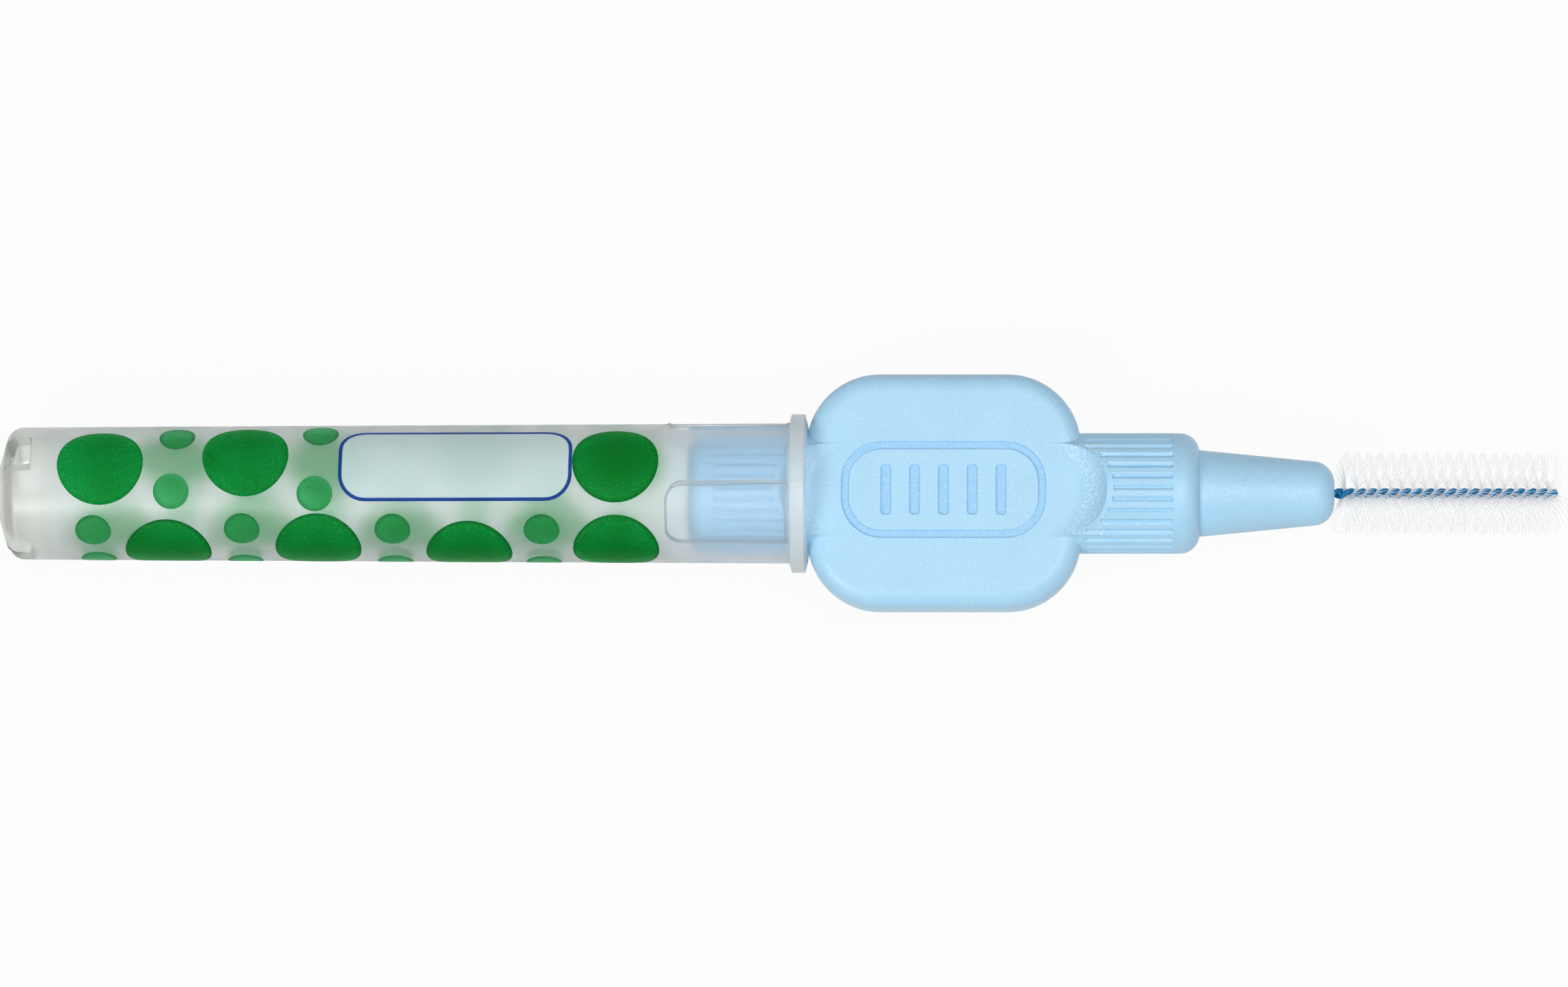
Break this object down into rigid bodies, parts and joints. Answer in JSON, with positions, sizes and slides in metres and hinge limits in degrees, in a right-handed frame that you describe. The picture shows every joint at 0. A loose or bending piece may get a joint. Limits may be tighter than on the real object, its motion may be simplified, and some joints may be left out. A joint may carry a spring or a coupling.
{
  "type": "interdental brush",
  "caption": "Small bottle-brush on a twisted coated wire, with a flat thumb grip, ribbed barrels at both ends and a vented tube cap pushed on the rear barrel.",
  "frame": {"origin": "centre of the overall box: cap, grip and brush together, on the brush's axis", "axes": "+X along the brush towards its tip, +Y across the flat grip, +Z out of the grip's front face"},
  "size_m": [0.0876, 0.0132, 0.0088],
  "materials": {
    "handle_plastic": "fine satin, stippled in the hollows",
    "core_steel": "drawn wire",
    "wire_coating": "glossy",
    "filament_nylon": "fine translucent strands",
    "cap_plastic": "milky translucent"
  },
  "bodies": {
    "brush": {"handle": "handle_plastic", "core_wire": "core_steel", "wire_coating": "wire_coating", "filaments": "filament_nylon"},
    "cap": {"cap": "cap_plastic"}
  },
  "joints": [
    {"name": "cap_pull", "type": "slide", "parent": "brush", "child": "cap", "axis": [-1, 0, 0], "range_m": [0, 0.015]}
  ]
}
